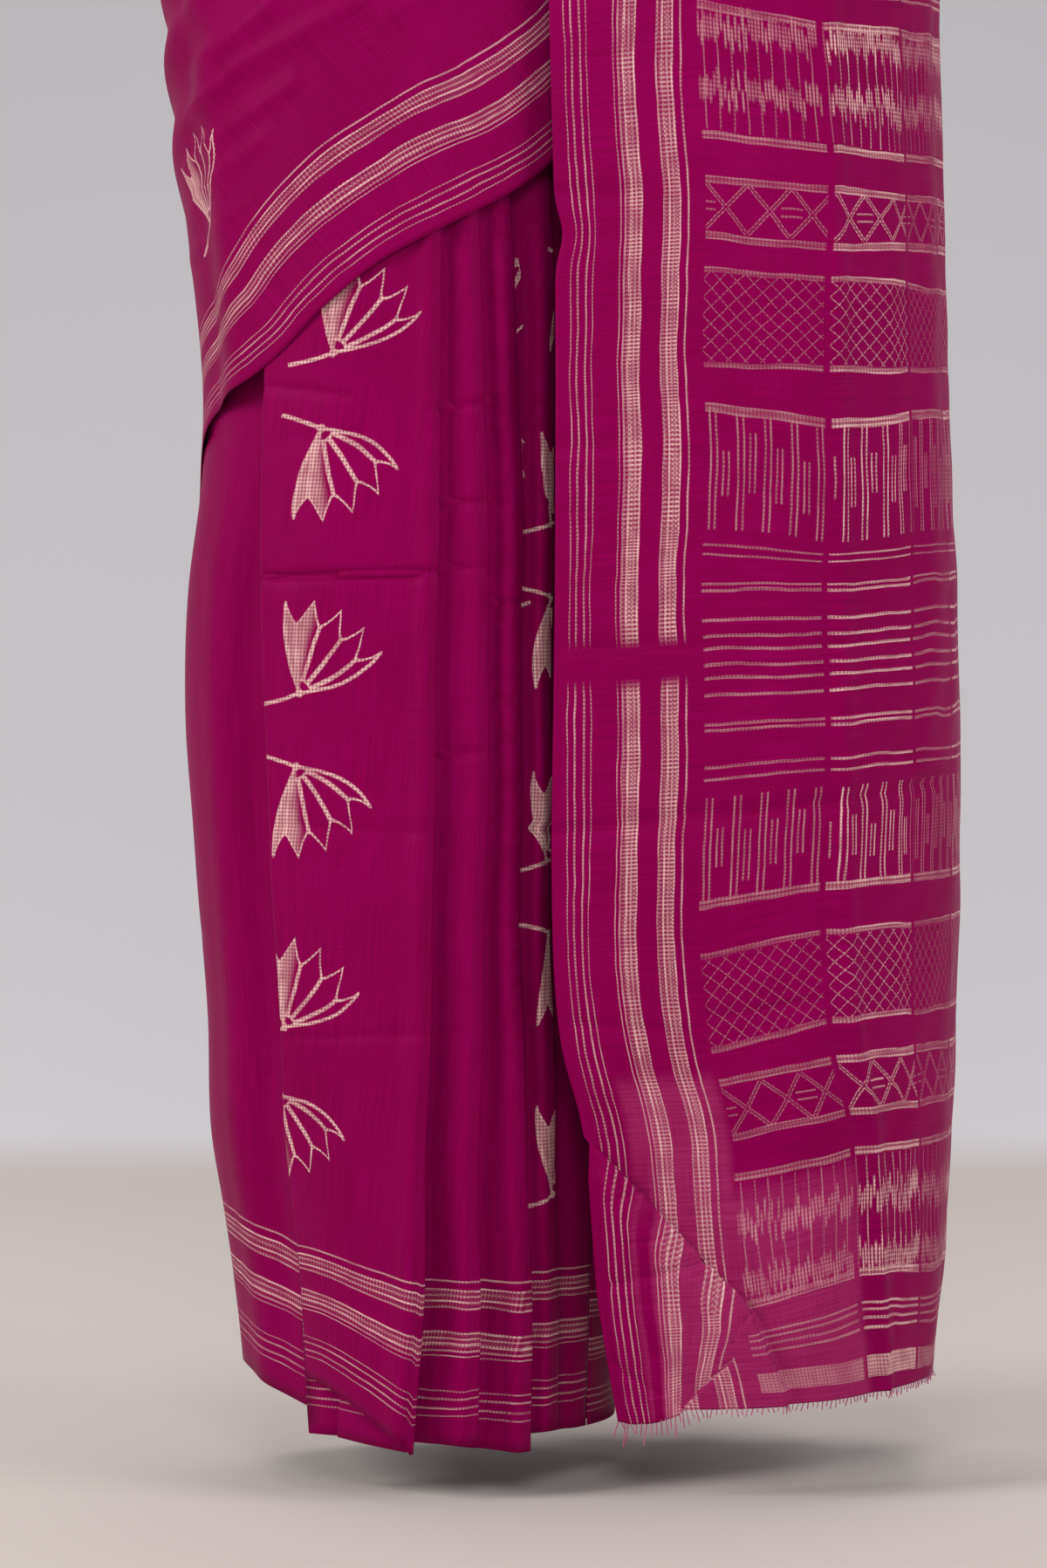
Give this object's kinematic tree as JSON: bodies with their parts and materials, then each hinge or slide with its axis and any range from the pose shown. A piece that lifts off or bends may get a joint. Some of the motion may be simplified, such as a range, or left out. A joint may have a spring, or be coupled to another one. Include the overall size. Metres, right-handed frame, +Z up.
{
  "type": "silk saree",
  "caption": "Magenta silk saree in stitch-resist shibori, worn in the nivi way with front pleats and a wide fringed end piece over the left arm; empty and held at waist, shoulder and forearm.",
  "frame": {"origin": "Centre of the waist, where the cloth is tucked in, 1066 mm above the lowest hem; the wearer stands upright.", "axes": "+Z up, the wearer's front towards -Y, the wearer's left towards +X."},
  "size_m": [0.5292, 0.3316, 1.4999],
  "materials": {
    "silk_body": "soft satin silk, magenta, pale dotted resist lines and lotus motifs",
    "silk_end": "sheer soft silk, magenta, pale dotted resist borders, bands and lattice",
    "silk_threads": "loose silk warp threads"
  },
  "bodies": {
    "root": {"inner_wrap": "silk_body", "front_pleats": "silk_body", "hip_wrap": "silk_body", "body_drape": "silk_body", "shoulder_fold": "silk_body", "arm_fall": "silk_end", "end_piece": "silk_end", "end_fringe": "silk_threads"}
  },
  "joints": []
}
